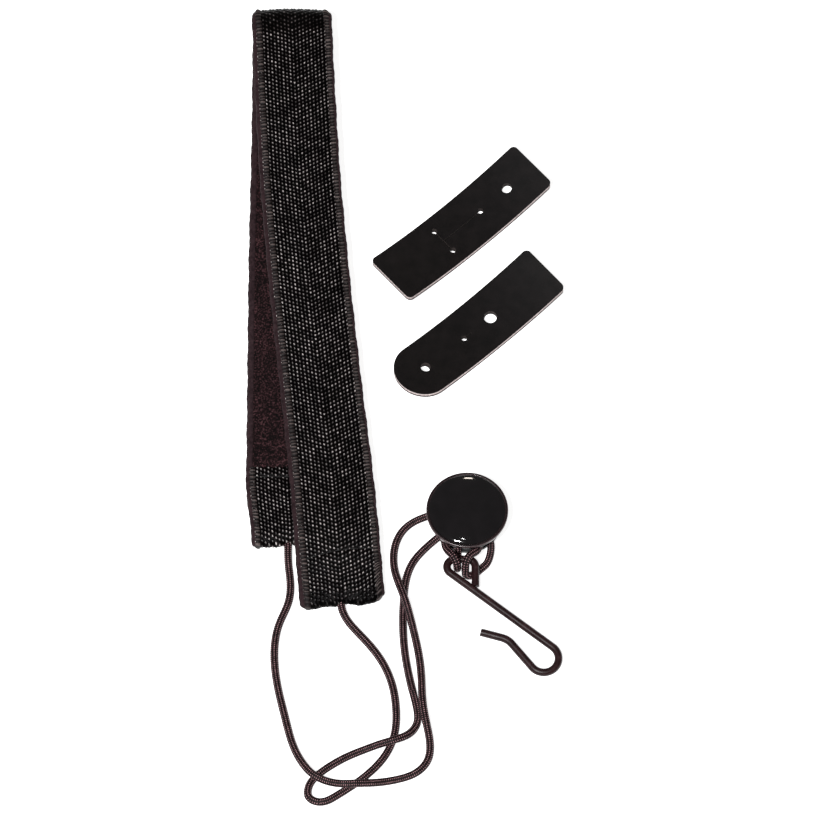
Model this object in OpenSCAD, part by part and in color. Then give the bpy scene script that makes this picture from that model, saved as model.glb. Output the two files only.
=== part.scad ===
// Saxophone neck strap, laid flat on a table with its two leather thumb rest tabs.
// X runs to the right, Y from the hook towards the fold of the strap, Z up from the table.
// The origin is on the table, under the middle of the strap, adjuster, hook and tabs.

/* [Strap] */
// Width of the finished strap
strap_w = 25; // [20:0.5:38]
// Length of the rear leg, from its end to the fold
rear_len = 182.8; // [120:0.2:260]
// How far the front leg reaches past the end of the rear leg
end_shift_y = 20; // [16:0.5:40]
// How far the end of the front leg lies to the right of the end of the rear leg
end_shift_x = 16.5; // [10:0.5:24]
// Thickness of the herringbone webbing
webbing_t = 1.6; // [1:0.1:2.4]
// Thickness of the suede lining
lining_t = 1.2; // [0.8:0.1:2]
// Width of the overcast thread along each long edge
edge_w = 0.8; // [0.5:0.1:1.5]
// Inner radius of the fold at the top of the strap
fold_inner_r = 3; // [2:0.1:5]
// Gap between the rear leg's hem and the front leg that lies on it
leg_gap = 0.6; // [0.5:0.1:2]

/* [Hems] */
// Length of the turned-back hem on the rear leg
rear_hem_len = 26; // [18:0.5:34]
// Length of the turned-under hem on the front leg
front_hem_len = 18; // [15:0.5:19.5]
// Gap between the two layers of a hem, where the cord is held
hem_gap = 1.8; // [1.4:0.1:2.6]
// How far the lining reaches into a hem
lining_tuck = 6; // [3:0.5:8]
// Distance from a hem's free edge to its row of stitches
stitch_inset = 3; // [2:0.5:5]
// Length of one stitch
stitch_len = 1.9; // [1.2:0.1:2.4]
// Number of stitches in a row
stitch_count = 9; // [5:1:9]

/* [Cord] */
// Diameter of the braided cord
cord_d = 2.4; // [1.8:0.1:2.6]
// Diameter of the stopper knot in each hem
knot_d = 5.6; // [4:0.1:6.5]
// Clearance all round where the cord passes through a hem
mouth_clear = 0.2; // [0.1:0.05:0.4]

/* [Adjuster] */
// Diameter of the adjuster's cap
disc_d = 25; // [24:0.5:32]
// Height of the cap's side wall
cap_side_h = 2.4; // [1.6:0.1:4]
// Radius of the cap's lower edge
cap_edge_r = 1.2; // [0.5:0.1:1.5]
// Height of the glossy dome above the cap's rim
dome_h = 1.3; // [0.8:0.1:2]
// Width of the cap's rim round the dome
rim_w = 0.8; // [0.5:0.1:1.5]
// Thickness of the base's floor
floor_t = 1; // [0.8:0.1:1.6]
// Thickness of the base's wall
base_wall = 1.7; // [1:0.1:2.2]
// Diameter of the post that the cord turns round
post_d = 3; // [2:0.1:3.2]

/* [Hook] */
// Diameter of the hook's wire
wire_d = 2.4; // [1.8:0.1:2.8]
// Distance between the two sides of the eye, along its bar
eye_w = 8.65; // [8.2:0.05:12]
// Radius of the eye's bends
eye_r = 2.4; // [1.8:0.1:3]
// Length of the shaft, from the eye to the hook's bend
shaft_len = 40.2; // [30:0.1:60]
// Angle of the shaft below the bar
shaft_angle = 37.5; // [30:0.5:45]
// Radius of the hook's bend, at the middle of the wire
bend_r = 4.5; // [3.5:0.1:7]
// Angle that the wire turns through in the hook's bend
bend_angle = 193; // [175:1:195]
// Length of the straight behind the bend
return_len = 9.6; // [6:0.1:16]
// Angle at which the tip flares out
flare_angle = 35; // [20:1:45]
// Length of the straight tip
tip_len = 6.5; // [4:0.1:9]

/* [Tabs] */
// Length of a leather tab
tab_len = 60; // [50:1:75]
// Width of a leather tab
tab_w = 18; // [15:0.5:22]
// Thickness of the leather
tab_t = 2.2; // [1.5:0.1:3]
// Radius to which the tabs curl
curl_r = 130; // [90:5:400]
// Corner radius of the tabs
tab_corner_r = 1.6; // [0.5:0.1:3]
// Width of a knife slit
slit_w = 0.3; // [0.2:0.05:0.6]
// Diameter of the slotted tab's large hole
slotted_hole_d = 3.2; // [2.6:0.1:5]
// Diameter of the small holes that end a slit
stop_hole_d = 1.8; // [1.2:0.1:2.4]
// Width of the slotted tab's cross slit, between its end holes
cross_slit_w = 8.8; // [6:0.1:11]
// Diameter of the round tab's large hole
round_large_d = 4; // [3:0.1:5]
// Diameter of the round tab's end hole
round_end_d = 3.1; // [2.4:0.1:4]

/* [Hidden] */
$fn = 64;
fine = 180;          // sides of the large rounds
over = 1;            // how far a cut runs out of what it cuts
far = 400;           // longer than any part of the strap

// Strap
rear_x = -36.5;
rear_end_y = -69.5;
stack_t = webbing_t + lining_t;
fold_r = fold_inner_r + stack_t;
fold_y = rear_end_y + rear_len - fold_r;
hem_t = 2 * webbing_t + hem_gap;
hem_r = hem_t / 2;
front_end_y = rear_end_y - end_shift_y;
front_skew = atan2(end_shift_x, fold_y - front_end_y);
front_reach = norm([end_shift_x, fold_y - front_end_y]);
tip_y = fold_y - front_reach;
past_fold = fold_y + 2;               // the front leg is drawn to here, then trimmed at the fold
band_w = strap_w - 2 * edge_w;
stitch_w = 0.5;
stitch_h = 0.35;
stitch_margin = 1;                    // from the band's edge to the first stitch
knot_h = 0.6 * knot_d;                // the knot is squeezed flat between the layers
pocket_l = knot_d + 0.8;
pocket_h = knot_h + 0.2;
knot_back = hem_r + pocket_l / 2;     // from a hem's end to the middle of its knot

// Height of the front leg's upper face, from its fold to its end, as [y, z]
front_over_hem = hem_t + leg_gap + stack_t;
front_top = [
  [past_fold, 2 * fold_r],
  [fold_y, 2 * fold_r],
  [rear_end_y + rear_hem_len + 2, front_over_hem],
  [rear_end_y - 1, front_over_hem],
  [tip_y + hem_r, hem_t]
];

// Adjuster
adj_x = 18;
adj_y = -60;
cap_overhang = 2;    // how far the cap stands out over the base
base_d = disc_d - 2 * cap_overhang;
cord_room = 0.8;     // height left over where two cords cross in the base
cap_z = floor_t + 2 * cord_d + cord_room;
cap_top_z = cap_z + cap_side_h;
dome_r = disc_d / 2 - rim_w;
dome_drop = 0.4;     // how deep the dome sits in the cap
cap_bevel = 0.3;
post_fit = 0.05;
post_socket = 1;     // how deep the post sits in the cap
post_z = 0.3;        // underside of the post, inside the base's floor
mouth_from = 158;    // the base is open on the side where the cord goes in and out
mouth_to = 323;

// Hook
bar_lift = 0.3;      // gap between the eye's bar and the cord under it
bar_out = 1.8;       // from the cap's edge to the middle of the bar
bar_left = 6.2;      // from the middle of the adjuster to the eye's left side
bar_z = cord_d + wire_d / 2 + bar_lift;
bar_y = adj_y - disc_d / 2 - bar_out;
flare_r = 6;
side_turn = 90 - shaft_angle;
eye_side = eye_r * (1 + tan(side_turn / 2));
wire_joint = 0.1;    // how far a straight runs into its bend
hair = 0.02;         // how much thinner a straight is than a bend
stub_gap = 0.15;     // between the stub's end and the shaft
hook_reach = eye_side + shaft_len * sin(shaft_angle) + bend_r * cos(shaft_angle) + bend_r;
hook_tilt = asin((bar_z - wire_d / 2) / hook_reach);
stub_len = eye_side + eye_w * tan(shaft_angle) - wire_d / 2 / cos(shaft_angle) - stub_gap;

// Tabs
slotted_at = [16.7, 39.6];
slotted_angle = 42;
round_at = [20.3, 3.6];
round_angle = 41.5;
slotted_hole_s = 0.32 * tab_len;
stem_from = 8;
stem_to = -7.7;
round_large_s = 7;
round_stop_s = -4;
round_end_s = -0.5 * tab_len + 9.8;
round_slit_l = 3;

// Routes of the cord, as points along its middle
REAR_ROUTE = [
  [-36.5, -69.75, 2.5], [-36.4, -74.3, 1.6], [-35.8, -80, 1.2], [-36.2, -87, 1.2],
  [-39, -94.5, 1.2], [-40.4, -105, 1.2], [-39.3, -115, 1.2], [-37, -125, 1.2],
  [-34.2, -135, 1.5], [-31.5, -140.5, 2.6], [-28, -144.7, 3.7], [-21.5, -147.2, 3.6],
  [-16, -147.3, 3.7], [-9.5, -146.5, 2.3], [-3, -145, 1.2], [2.5, -142.8, 1.2],
  [5.8, -139, 1.2], [6.6, -134, 1.4], [5.6, -128, 2.9], [4.6, -122.5, 3.6],
  [4.2, -117, 2.7], [3.9, -110, 1.3], [2.9, -102.5, 1.2], [1.6, -96.5, 1.6],
  [0, -90.5, 3.2], [-1.4, -86, 3.7], [-3.2, -80.5, 2.7], [-4.3, -75, 1.3],
  [-3.6, -67.5, 1.2], [-0.6, -62.5, 1.2], [3.6, -59.8, 1.4], [7, -58.7, 2.2]
];
FRONT_ROUTE = [
  [-20, -89.9, 2], [-18.6, -93, 1.5], [-15.6, -96.8, 1.2], [-11.7, -101.3, 1.2],
  [-8, -106.6, 1.2], [-4.9, -114, 1.2], [-3.6, -122.6, 1.2], [-4, -130, 1.2],
  [-6.8, -137.2, 1.2], [-11.6, -142.9, 1.2], [-16.6, -147, 1.2], [-21.6, -150.4, 1.2],
  [-26.4, -152.3, 1.2], [-29.6, -150.8, 1.2], [-29.7, -147.3, 1.2], [-27.4, -143.9, 1.2],
  [-23.6, -140.9, 1.2], [-18.6, -137.9, 1.2], [-12.6, -135.4, 1.6], [-7.6, -134.1, 3.1],
  [-2.6, -132.7, 3.6], [1, -130, 2], [2.8, -126.4, 1.2], [2.7, -122.5, 1.2],
  [1.4, -116.5, 1.2], [0, -110, 1.2], [-1, -103.5, 1.2], [-1.5, -96.5, 1.2],
  [-1.5, -90, 1.2], [-1.2, -84.5, 1.2], [-0.4, -79, 1.2], [1.6, -74, 1.2],
  [4.8, -70, 1.3], [9, -66.4, 2.2]
];
LEFT_LOOP = [
  [11.2, -69.4, 5.2], [11.6, -71.2, 5.4], [12.6, -72.9, 6.1], [13.8, -74.5, 6.7],
  [14.7, -76.2, 6.1], [15, -77, 4], [15, -76.3, 2], [15, -74.3, 1.25],
  [15.1, -72.4, 1.6], [15.1, -70.8, 2]
];
RIGHT_LOOP = [
  [21.6, -70.3, 5.2], [21, -71.9, 5.4], [20.1, -72.95, 6], [18.9, -74, 6.6],
  [18, -75.3, 6.7], [17.5, -76.8, 5.9], [17.4, -77.9, 4.2], [17.7, -78.7, 2.2],
  [19.4, -78.4, 1.2], [21.6, -76.8, 1.2], [23.7, -74.8, 1.2], [25, -71.6, 1.6],
  [25.3, -69, 2.2]
];
PASS_REAR = [
  [7.45, -58.55, 2.4], [9.4, -58.4, 3], [11.4, -59.7, 4], [12.3, -62.2, 5],
  [12, -65.6, 5.2], [11.3, -68.7, 5.2]
];
PASS_TURN = [
  [15.1, -70, 2.2], [15.1, -68.2, 3], [15.1, -66.2, 4.4], [14.9, -63, 5.2],
  [15, -60, 5.2], [16.2, -57.7, 5.2], [18, -56.9, 5.2], [19.8, -57.7, 5.2],
  [21, -60, 5.2], [21.5, -65, 5.2], [22.2, -68.4, 5.2], [21.9, -69.6, 5.2]
];
PASS_FRONT = [
  [9.4, -66.1, 2.3], [11.6, -64.8, 2.3], [14.6, -63.9, 2.3], [18, -63.8, 2.3],
  [21.6, -64.6, 2.3], [24.1, -65.8, 2.3], [25.1, -68.3, 2.3]
];

// ---------- helpers ----------

// Half of a flat ring in the YZ plane; side 1 bulges towards +Y, side -1 towards -Y
module half_ring(outer_r, inner_r, side) {
  difference() {
    circle(r = outer_r);
    circle(r = inner_r);
    translate([side > 0 ? -2 * outer_r : 0, -2 * outer_r])
      square([2 * outer_r, 4 * outer_r]);
  }
}

// Extrudes a YZ outline across the strap, w wide, from x = from_x
module across(from_x, w) {
  translate([from_x, 0, 0])
    rotate([90, 0, 90])
      linear_extrude(height = w) children();
}

// Height of the front leg's upper face at y
function front_z(y) = lookup(-y, [for (p = front_top) [-p[0], p[1]]]);

// Part of the front leg in the YZ plane, between two depths below its upper face
module front_strip(y_from, y_to, depth_from, depth_to) {
  inner = [for (p = front_top) if (p[0] < y_to && p[0] > y_from) p];
  line = concat([[y_to, front_z(y_to)]], inner, [[y_from, front_z(y_from)]]);
  last = len(line) - 1;
  polygon(concat(
    [for (p = line) [p[0], p[1] - depth_from]],
    [for (i = [last:-1:0]) [line[i][0], line[i][1] - depth_to]]
  ));
}

// Tilts what is held in the front hem to the slope of the hem's end
module in_front_hem() {
  end_y = tip_y + hem_r;
  slope = atan2(front_z(end_y + 1) - front_z(end_y), 1);
  translate([0, end_y, hem_r]) rotate([slope, 0, 0]) translate([0, -hem_r, 0]) children();
}

// Turns the front leg about the fold and trims it square to the fold
module lay_front_leg() {
  difference() {
    translate([rear_x, fold_y, 0])
      rotate([0, 0, front_skew])
        translate([0, -fold_y, 0]) children();
    translate([rear_x - far / 2, fold_y, -over]) cube([far, far, far]);
  }
}

// A row of stitches across the strap, centred on x = 0
module stitch_row() {
  pitch = (band_w - 2 * stitch_margin) / stitch_count;
  for (i = [0:stitch_count - 1])
    translate([(i - (stitch_count - 1) / 2) * pitch - stitch_len / 2, -stitch_w / 2, 0])
      cube([stitch_len, stitch_w, stitch_h]);
}

// Knot, and the cord from it to the mouth of the hem, with the hem's end at y = 0
module knot_and_stub() {
  intersection() {
    translate([0, knot_back, 0]) sphere(d = knot_d);
    translate([-knot_d, 0, -knot_h / 2]) cube([2 * knot_d, 2 * knot_back, knot_h]);
  }
  rotate([-90, 0, 0]) cylinder(d = cord_d, h = knot_back);
}

// Hole for the cord and pocket for the knot, with the hem's end at y = 0
module knot_room() {
  translate([0, -over, 0])
    rotate([-90, 0, 0]) cylinder(d = cord_d + 2 * mouth_clear, h = knot_back + over);
  translate([-pocket_l / 2, knot_back - pocket_l / 2, -pocket_h / 2])
    cube([pocket_l, pocket_l, pocket_h]);
}

// Tube through a list of points, with eight sides
function unit(v) = v / norm(v);
function heading(p, i) =
  unit((i < len(p) - 1 ? p[i + 1] - p[i] : p[i] - p[i - 1])
    + (i > 0 ? p[i] - p[i - 1] : p[i + 1] - p[i]));
function side_of(h) = unit(cross(abs(h[2]) > 0.9 ? [1, 0, 0] : [0, 0, 1], h));
function carried(s, h) = unit(s - (s * h) * h);
function sides(p, i = 0, s = undef) =
  i == len(p) ? [] :
  let (h = heading(p, i), now = s == undef ? side_of(h) : carried(s, h))
  concat([now], sides(p, i + 1, now));
module tube(p, d) {
  n = 8;
  s = sides(p);
  rings = [
    for (i = [0:len(p) - 1])
      let (up = cross(heading(p, i), s[i]))
      for (k = [0:n - 1])
        p[i] + d / 2 * (cos(360 * (k + 0.5) / n) * s[i] + sin(360 * (k + 0.5) / n) * up)
  ];
  walls = [
    for (i = [0:len(p) - 2], k = [0:n - 1])
      let (a = i * n + k, b = i * n + (k + 1) % n)
      each [[a, b + n, b], [a, a + n, b + n]]
  ];
  first = [for (k = [0:n - 1]) k];
  last = [for (k = [n - 1:-1:0]) (len(p) - 1) * n + k];
  polyhedron(points = rings, faces = concat(walls, [first, last]));
}

// Bent wire: straights along +X with bends, as [length, turn to the left, bend radius].
// Each straight is a hair thinner than its bends and runs into them, so that all is one solid
module bent_wire(steps, i = 0) {
  straight = steps[i][0];
  turn = steps[i][1];
  r = steps[i][2];
  side = turn < 0 ? -1 : 1;
  translate([-wire_joint, 0, 0])
    rotate([0, 90, 0]) cylinder(d = wire_d - hair, h = straight + 2 * wire_joint);
  if (i < len(steps) - 1) {
    translate([straight, side * r, 0]) {
      rotate([0, 0, side > 0 ? -90 : 90 + turn])
        rotate_extrude(angle = abs(turn)) translate([r, 0]) circle(d = wire_d);
      rotate([0, 0, turn]) translate([0, -side * r, 0]) bent_wire(steps, i + 1);
    }
  }
}

// Leather plate of an outline, curled about Y so that its ends stand up
module curled(reach) {
  intersection() {
    linear_extrude(height = reach) children();
    translate([0, reach, curl_r])
      rotate([90, 0, 0])
        difference() {
          cylinder(r = curl_r, h = 2 * reach, $fn = fine);
          translate([0, 0, -over])
            cylinder(r = curl_r - tab_t, h = 2 * (reach + over), $fn = fine);
        }
  }
}

// Hole through the curled leather, square to it, at s along the tab and t across it
module punched(s, t, d) {
  translate([0, t, curl_r])
    rotate([0, -asin(s / curl_r), 0])
      translate([0, 0, -curl_r - over]) cylinder(d = d, h = tab_t + 2 * over);
}

module rounded_plate(l, w, r) {
  square([l - 2 * r, w], center = true);
  square([l, w - 2 * r], center = true);
  for (x = [-1, 1], y = [-1, 1])
    translate([x * (l / 2 - r), y * (w / 2 - r)]) circle(r = r);
}

// ---------- strap ----------

module rear_webbing_outline() {
  start = rear_end_y + hem_r;
  translate([start, 0]) square([fold_y - start, webbing_t]);
  translate([fold_y, fold_r]) half_ring(fold_r, fold_r - webbing_t, 1);
  translate([start, hem_r]) half_ring(hem_r, hem_gap / 2, -1);
  translate([start, hem_t - webbing_t]) square([rear_hem_len - hem_r, webbing_t]);
}

module webbing_rear() {
  color("#1c1c1e")
    difference() {
      across(rear_x - band_w / 2, band_w) rear_webbing_outline();
      translate([rear_x, rear_end_y, hem_r]) knot_room();
    }
}

module webbing_front() {
  color("#1c1c1e")
    lay_front_leg()
      difference() {
        across(-band_w / 2, band_w) {
          front_strip(tip_y + hem_r, past_fold, 0, webbing_t);
          front_strip(tip_y + hem_r, tip_y + front_hem_len, hem_t - webbing_t, hem_t);
          translate([tip_y + hem_r, hem_r]) half_ring(hem_r, hem_gap / 2, -1);
        }
        in_front_hem() knot_room();
      }
}

module lining_rear() {
  start = rear_end_y + rear_hem_len - lining_tuck;
  color("#2b1a1e")
    across(rear_x - band_w / 2, band_w) {
      translate([start, webbing_t]) square([fold_y - start, lining_t]);
      translate([fold_y, fold_r]) half_ring(fold_r - webbing_t, fold_inner_r, 1);
    }
}

module lining_front() {
  color("#2b1a1e")
    lay_front_leg()
      across(-band_w / 2, band_w)
        front_strip(tip_y + front_hem_len - lining_tuck, past_fold, webbing_t, stack_t);
}

module edge_thread_rear() {
  start = rear_end_y + hem_r;
  color("#3a2a2c")
    for (x = [rear_x - strap_w / 2, rear_x + strap_w / 2 - edge_w])
      across(x, edge_w) {
        translate([start, 0]) square([fold_y - start, stack_t]);
        translate([start, 0]) square([rear_hem_len - hem_r, hem_t]);
        translate([start, hem_r]) circle(r = hem_r);
        translate([fold_y, fold_r]) half_ring(fold_r, fold_inner_r, 1);
      }
}

module edge_thread_front() {
  color("#3a2a2c")
    lay_front_leg()
      for (x = [-strap_w / 2, strap_w / 2 - edge_w])
        across(x, edge_w) {
          front_strip(tip_y + hem_r, past_fold, 0, stack_t);
          front_strip(tip_y + hem_r, tip_y + front_hem_len, 0, hem_t);
          translate([tip_y + hem_r, hem_r]) circle(r = hem_r);
        }
}

module hem_stitch_rear() {
  color("#101012")
    translate([rear_x, rear_end_y + rear_hem_len - stitch_inset, hem_t]) stitch_row();
}

module hem_stitch_front() {
  y = tip_y + front_hem_len - stitch_inset;
  slope = atan2(front_z(y + 1) - front_z(y), 1);
  color("#101012")
    lay_front_leg() translate([0, y, front_z(y)]) rotate([slope, 0, 0]) stitch_row();
}

// ---------- cord ----------

module cord_knot_rear() {
  color("#241c20") translate([rear_x, rear_end_y, hem_r]) knot_and_stub();
}

module cord_knot_front() {
  color("#241c20") lay_front_leg() in_front_hem() knot_and_stub();
}

module cord_rear_run() {
  color("#241c20") tube(REAR_ROUTE, cord_d);
}

module cord_front_run() {
  color("#241c20") tube(FRONT_ROUTE, cord_d);
}

module cord_hook_loops() {
  color("#241c20") {
    tube(LEFT_LOOP, cord_d);
    tube(RIGHT_LOOP, cord_d);
  }
}

module cord_in_adjuster() {
  color("#241c20") {
    tube(PASS_REAR, cord_d);
    tube(PASS_TURN, cord_d);
    tube(PASS_FRONT, cord_d);
  }
}

// ---------- adjuster ----------

module adjuster_base() {
  color("#151517")
    translate([adj_x, adj_y, 0])
      difference() {
        union() {
          cylinder(d = base_d, h = floor_t);
          difference() {
            cylinder(d = base_d, h = cap_z);
            translate([0, 0, -over])
              cylinder(d = base_d - 2 * base_wall, h = cap_z + 2 * over);
            translate([0, 0, -over])
              linear_extrude(height = cap_z + 2 * over)
                polygon([
                  [0, 0],
                  disc_d * [cos(mouth_from), sin(mouth_from)],
                  2 * disc_d * [cos((mouth_from + mouth_to) / 2), sin((mouth_from + mouth_to) / 2)],
                  disc_d * [cos(mouth_to), sin(mouth_to)]
                ]);
          }
        }
        translate([0, 0, post_z]) cylinder(d = post_d + 2 * post_fit, h = floor_t);
      }
}

module adjuster_post() {
  color("silver")
    translate([adj_x, adj_y, post_z])
      cylinder(d = post_d, h = cap_z + post_socket - post_z);
}

module adjuster_cap() {
  half = disc_d / 2;
  arc = [for (a = [-90:15:0])
    [half - cap_edge_r + cap_edge_r * cos(a), cap_z + cap_edge_r + cap_edge_r * sin(a)]];
  color("#0c0c0e")
    translate([adj_x, adj_y, 0])
      difference() {
        rotate_extrude()
          polygon(concat(
            [[0, cap_z]], arc,
            [[half, cap_top_z - cap_bevel], [half - cap_bevel, cap_top_z], [dome_r, cap_top_z]],
            [[dome_r, cap_top_z - dome_drop], [0, cap_top_z - dome_drop]]
          ));
        translate([0, 0, cap_z - over])
          cylinder(d = post_d + 2 * post_fit, h = post_socket + over);
      }
}

module adjuster_dome() {
  rise = dome_h + dome_drop;
  ball_r = (dome_r * dome_r + rise * rise) / (2 * rise);
  color("#08080a")
    translate([adj_x, adj_y, cap_top_z - dome_drop])
      intersection() {
        translate([0, 0, rise - ball_r]) sphere(r = ball_r, $fn = fine);
        cylinder(r = dome_r, h = 2 * rise);
      }
}

// ---------- hook ----------

module hook() {
  color("#1a1214")
    translate([adj_x - bar_left, bar_y, bar_z])
      rotate([hook_tilt, 0, 0])
        translate([eye_w, -stub_len, 0])
          rotate([0, 0, 90])
            bent_wire([
              [stub_len - eye_r, 90, eye_r],
              [eye_w - 2 * eye_r, 90 + side_turn, eye_r],
              [shaft_len - eye_r * tan(side_turn / 2), -bend_angle, bend_r],
              [return_len, flare_angle, flare_r],
              [tip_len, 0, 0]
            ]);
}

// ---------- thumb rest tabs ----------

module tab_slotted() {
  color("#141416")
    translate([slotted_at[0], slotted_at[1], 0])
      rotate([0, 0, slotted_angle])
        difference() {
          curled(tab_len) rounded_plate(tab_len, tab_w, tab_corner_r);
          punched(slotted_hole_s, 0, slotted_hole_d);
          punched(stem_from, 0, stop_hole_d);
          for (side = [-1, 1]) punched(stem_to, side * cross_slit_w / 2, stop_hole_d);
          translate([stem_to, -slit_w / 2, -over]) cube([stem_from - stem_to, slit_w, tab_len]);
          translate([stem_to - slit_w / 2, -cross_slit_w / 2, -over])
            cube([slit_w, cross_slit_w, tab_len]);
        }
}

module tab_round() {
  color("#141416")
    translate([round_at[0], round_at[1], 0])
      rotate([0, 0, round_angle])
        difference() {
          curled(tab_len) {
            translate([-tab_len / 2 + tab_w / 2, 0]) circle(d = tab_w);
            translate([-tab_len / 2 + tab_w / 2, -tab_w / 2])
              square([tab_len - tab_w / 2 - tab_corner_r, tab_w]);
            translate([tab_len / 2 - 2 * tab_corner_r, 0])
              rounded_plate(4 * tab_corner_r, tab_w, tab_corner_r);
          }
          punched(round_large_s, 0, round_large_d);
          punched(round_stop_s, 0, stop_hole_d);
          punched(round_end_s, 0, round_end_d);
          translate([round_stop_s, -slit_w / 2, -over]) cube([round_slit_l, slit_w, tab_len]);
        }
}

webbing_rear();
webbing_front();
lining_rear();
lining_front();
edge_thread_rear();
edge_thread_front();
hem_stitch_rear();
hem_stitch_front();
cord_knot_rear();
cord_knot_front();
cord_rear_run();
cord_front_run();
cord_hook_loops();
cord_in_adjuster();
adjuster_base();
adjuster_post();
adjuster_cap();
adjuster_dome();
hook();
tab_slotted();
tab_round();
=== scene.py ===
"""Looks of a saxophone neck strap lying on a table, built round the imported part.

Shapes are worked out in millimetres and turned to metres with MM. On the band, s runs along its middle
from the tucked end of the rear hem, u runs across it and n points out of its woven face.
"""
import math
import bpy
import numpy as np
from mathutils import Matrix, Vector


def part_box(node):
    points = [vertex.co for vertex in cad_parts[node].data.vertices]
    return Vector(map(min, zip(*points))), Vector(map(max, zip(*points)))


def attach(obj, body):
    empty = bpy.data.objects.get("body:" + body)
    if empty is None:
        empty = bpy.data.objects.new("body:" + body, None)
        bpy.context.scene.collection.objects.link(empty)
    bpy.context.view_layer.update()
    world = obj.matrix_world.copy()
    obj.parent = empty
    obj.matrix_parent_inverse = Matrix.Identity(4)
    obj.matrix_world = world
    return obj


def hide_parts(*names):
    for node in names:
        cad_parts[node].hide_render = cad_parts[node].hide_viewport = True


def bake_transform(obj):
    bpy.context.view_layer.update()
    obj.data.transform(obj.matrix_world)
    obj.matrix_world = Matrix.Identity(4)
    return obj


MM = 0.001
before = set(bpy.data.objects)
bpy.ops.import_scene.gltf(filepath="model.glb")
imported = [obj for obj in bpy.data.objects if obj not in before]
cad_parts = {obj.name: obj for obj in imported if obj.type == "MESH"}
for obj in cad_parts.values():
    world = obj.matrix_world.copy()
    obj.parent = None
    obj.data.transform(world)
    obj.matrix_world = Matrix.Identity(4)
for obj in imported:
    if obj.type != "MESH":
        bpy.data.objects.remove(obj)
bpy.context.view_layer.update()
scene = bpy.context.scene

# ---------- camera ----------

ELEVATION = math.radians(65)
CAMERA_AWAY = 2
look_at = Vector((0, -0.02175, 0))
camera = bpy.data.objects.new("camera", bpy.data.cameras.new("camera"))
camera.location = look_at + CAMERA_AWAY * Vector((0, -math.cos(ELEVATION), math.sin(ELEVATION)))
camera.rotation_euler = (math.pi / 2 - ELEVATION, 0, 0)
camera.data.sensor_width = 36
camera.data.lens = 286.8
scene.collection.objects.link(camera)
scene.camera = camera


# ---------- curves and meshes ----------

def unit(v):
    return v / np.maximum(np.linalg.norm(v, axis=-1, keepdims=True), 1e-12)


def ease(x):
    """From 0 to 1 with soft ends, as x goes from 0 to 1."""
    x = np.clip(x, 0, 1)
    return x * x * (3 - 2 * x)


def along(line):
    """Distance of each point from the start of the line."""
    steps = np.linalg.norm(np.diff(line, axis=0), axis=1)
    return np.concatenate([[0], np.cumsum(steps)])


def evenly(line, step):
    """The line again, with points step apart."""
    d = along(line)
    at = np.linspace(0, d[-1], max(2, round(d[-1] / step)) + 1)
    return np.stack([np.interp(at, d, line[:, k]) for k in range(line.shape[1])], axis=1)


def smooth(points, step):
    """A natural cubic curve through points, with points step apart."""
    p = np.array(points, float)
    h = np.diff(along(p))[:, None]
    n = len(p)
    a, b = np.zeros((n, n)), np.zeros_like(p)
    a[0, :2], b[0] = (2, 1), 3 * (p[1] - p[0]) / h[0]
    a[-1, -2:], b[-1] = (1, 2), 3 * (p[-1] - p[-2]) / h[-1]
    for i in range(1, n - 1):
        before, after = h[i - 1], h[i]
        a[i, i - 1:i + 2] = after[0], 2 * (before[0] + after[0]), before[0]
        b[i] = 3 * (after * (p[i] - p[i - 1]) / before + before * (p[i + 1] - p[i]) / after)
    m = np.linalg.solve(a, b)
    s = np.linspace(0, 1, 40, endpoint=False)[:, None]
    parts = [
        (2 * s**3 - 3 * s**2 + 1) * p[i] + (s**3 - 2 * s**2 + s) * h[i] * m[i]
        + (3 * s**2 - 2 * s**3) * p[i + 1] + (s**3 - s**2) * h[i] * m[i + 1]
        for i in range(n - 1)
    ]
    return evenly(np.vstack(parts + [p[-1:]]), step)


def build(name, rings, attributes=(), caps=True):
    """A closed skin over rings[ring, corner] in mm, with one float attribute per (name, values)."""
    n, m = rings.shape[:2]
    index = np.arange(n * m).reshape(n, m)
    turned = np.roll(index, -1, axis=1)
    quads = np.stack([index[:-1], turned[:-1], turned[1:], index[1:]], axis=-1).reshape(-1, 4)
    flat = rings.reshape(-1, 3)
    a, b, c, d = (flat[quads[:, k]] - flat.mean(0) for k in range(4))
    volume = (np.cross(a, b) * c).sum() + (np.cross(a, c) * d).sum()
    faces = quads.tolist()
    if caps:
        faces += [index[0, ::-1].tolist(), index[-1].tolist()]
    mesh = bpy.data.meshes.new(name)
    mesh.from_pydata((flat * MM).tolist(), [], faces)
    for key, values in attributes:
        mesh.attributes.new(key, "FLOAT", "POINT").data.foreach_set(
            "value", np.ascontiguousarray(values, np.float32).ravel())
    if volume < 0:
        mesh.flip_normals()
    mesh.shade_smooth()
    piece = bpy.data.objects.new(name, mesh)
    scene.collection.objects.link(piece)
    return piece


def frames(line):
    """Two sides of a curve at each point, square to it and to each other, without twist."""
    t = unit(np.gradient(line, axis=0))
    side = np.zeros_like(line)
    s = np.cross([0, 0, 1], t[0])
    for i in range(len(line)):
        s = s - (s @ t[i]) * t[i]
        s = s / np.linalg.norm(s)
        side[i] = s
    return side, np.cross(t, side)


# ---------- materials ----------

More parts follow.
